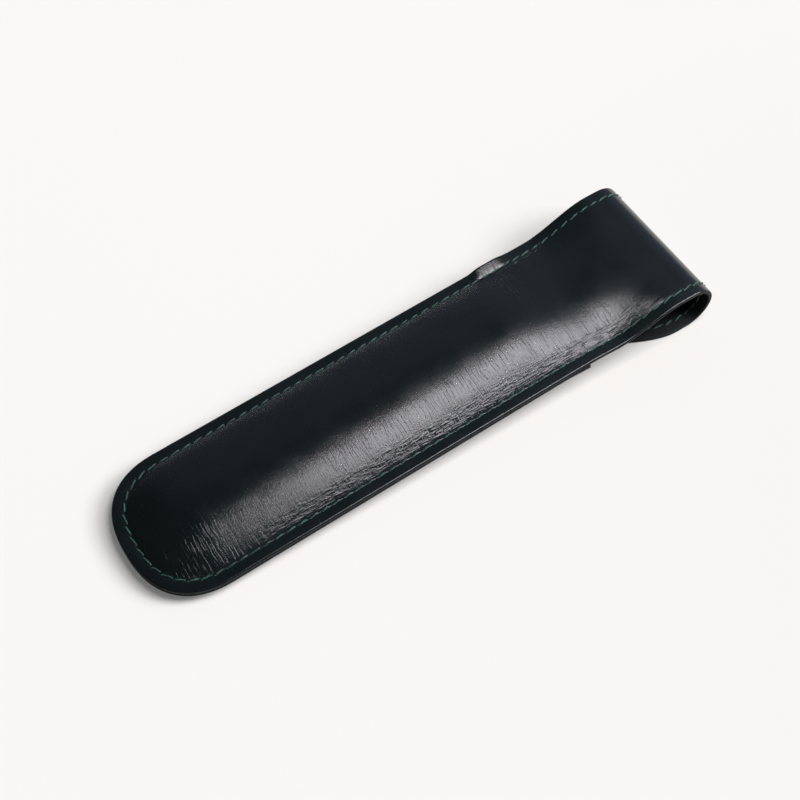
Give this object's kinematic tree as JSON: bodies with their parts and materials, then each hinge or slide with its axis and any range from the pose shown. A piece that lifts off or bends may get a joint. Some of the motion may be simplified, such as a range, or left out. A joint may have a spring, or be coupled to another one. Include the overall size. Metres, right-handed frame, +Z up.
{
  "type": "pen case",
  "caption": "Slim lined leather pen pouch with a rounded foot and a long flap that rolls over the mouth and lies along the front.",
  "frame": {"origin": "on the table, under the middle of the case's length and width", "axes": "+X along the case from the rounded foot to the roll of the flap, +Y across it, +Z up from the front, which lies on the table, to the plain back"},
  "size_m": [0.1718, 0.044, 0.0154],
  "materials": {
    "outer_leather": "gloss",
    "lining_leather": "satin",
    "thread": "matte"
  },
  "bodies": {
    "pouch": {"back_leather": "outer_leather", "back_lining": "lining_leather", "front_leather": "outer_leather", "front_lining": "lining_leather", "keeper_band": "outer_leather", "seam_thread": "thread"},
    "roll_1": {"roll_leather_1": "outer_leather", "roll_lining_1": "lining_leather", "roll_thread_1": "thread"},
    "roll_2": {"roll_leather_2": "outer_leather", "roll_lining_2": "lining_leather", "roll_thread_2": "thread"},
    "roll_3": {"roll_leather_3": "outer_leather", "roll_lining_3": "lining_leather", "roll_thread_3": "thread"},
    "roll_4": {"roll_leather_4": "outer_leather", "roll_lining_4": "lining_leather", "roll_thread_4": "thread"},
    "roll_5": {"roll_leather_5": "outer_leather", "roll_lining_5": "lining_leather", "roll_thread_5": "thread"},
    "roll_6": {"roll_leather_6": "outer_leather", "roll_lining_6": "lining_leather", "roll_thread_6": "thread"},
    "roll_7": {"roll_leather_7": "outer_leather", "roll_lining_7": "lining_leather", "roll_thread_7": "thread"},
    "tongue": {"tongue_leather": "outer_leather", "tongue_lining": "lining_leather", "tongue_thread": "thread"}
  },
  "joints": [
    {"name": "flap_fold", "type": "hinge", "parent": "pouch", "child": "roll_1", "pos_m": [0.07956, 0, 0.0152], "axis": [0, -1, 0], "range_deg": [0, 22.5], "stiffness_Nm_per_rad": 0.02},
    {"name": "roll_bend_2", "type": "hinge", "parent": "roll_1", "child": "roll_2", "pos_m": [0.08235, 0, 0.01404], "axis": [0, -1, 0], "range_deg": [0, 22.5], "stiffness_Nm_per_rad": 0.02},
    {"name": "roll_bend_3", "type": "hinge", "parent": "roll_2", "child": "roll_3", "pos_m": [0.08449, 0, 0.01191], "axis": [0, -1, 0], "range_deg": [0, 22.5], "stiffness_Nm_per_rad": 0.02},
    {"name": "roll_bend_4", "type": "hinge", "parent": "roll_3", "child": "roll_4", "pos_m": [0.08565, 0, 0.00911], "axis": [0, -1, 0], "range_deg": [0, 22.5], "stiffness_Nm_per_rad": 0.02},
    {"name": "roll_bend_5", "type": "hinge", "parent": "roll_4", "child": "roll_5", "pos_m": [0.08565, 0, 0.00609], "axis": [0, -1, 0], "range_deg": [0, 22.5], "stiffness_Nm_per_rad": 0.02},
    {"name": "roll_bend_6", "type": "hinge", "parent": "roll_5", "child": "roll_6", "pos_m": [0.08449, 0, 0.0033], "axis": [0, -1, 0], "range_deg": [0, 22.5], "stiffness_Nm_per_rad": 0.02},
    {"name": "roll_bend_7", "type": "hinge", "parent": "roll_6", "child": "roll_7", "pos_m": [0.08235, 0, 0.00116], "axis": [0, -1, 0], "range_deg": [0, 22.5], "stiffness_Nm_per_rad": 0.02},
    {"name": "roll_bend_8", "type": "hinge", "parent": "roll_7", "child": "tongue", "pos_m": [0.07956, 0, 0], "axis": [0, -1, 0], "range_deg": [0, 22.5], "stiffness_Nm_per_rad": 0.02}
  ],
  "couplings": [
    {"joint": "roll_bend_2", "follows": "flap_fold", "ratio": 1},
    {"joint": "roll_bend_3", "follows": "flap_fold", "ratio": 1},
    {"joint": "roll_bend_4", "follows": "flap_fold", "ratio": 1},
    {"joint": "roll_bend_5", "follows": "flap_fold", "ratio": 1},
    {"joint": "roll_bend_6", "follows": "flap_fold", "ratio": 1},
    {"joint": "roll_bend_7", "follows": "flap_fold", "ratio": 1},
    {"joint": "roll_bend_8", "follows": "flap_fold", "ratio": 1}
  ]
}
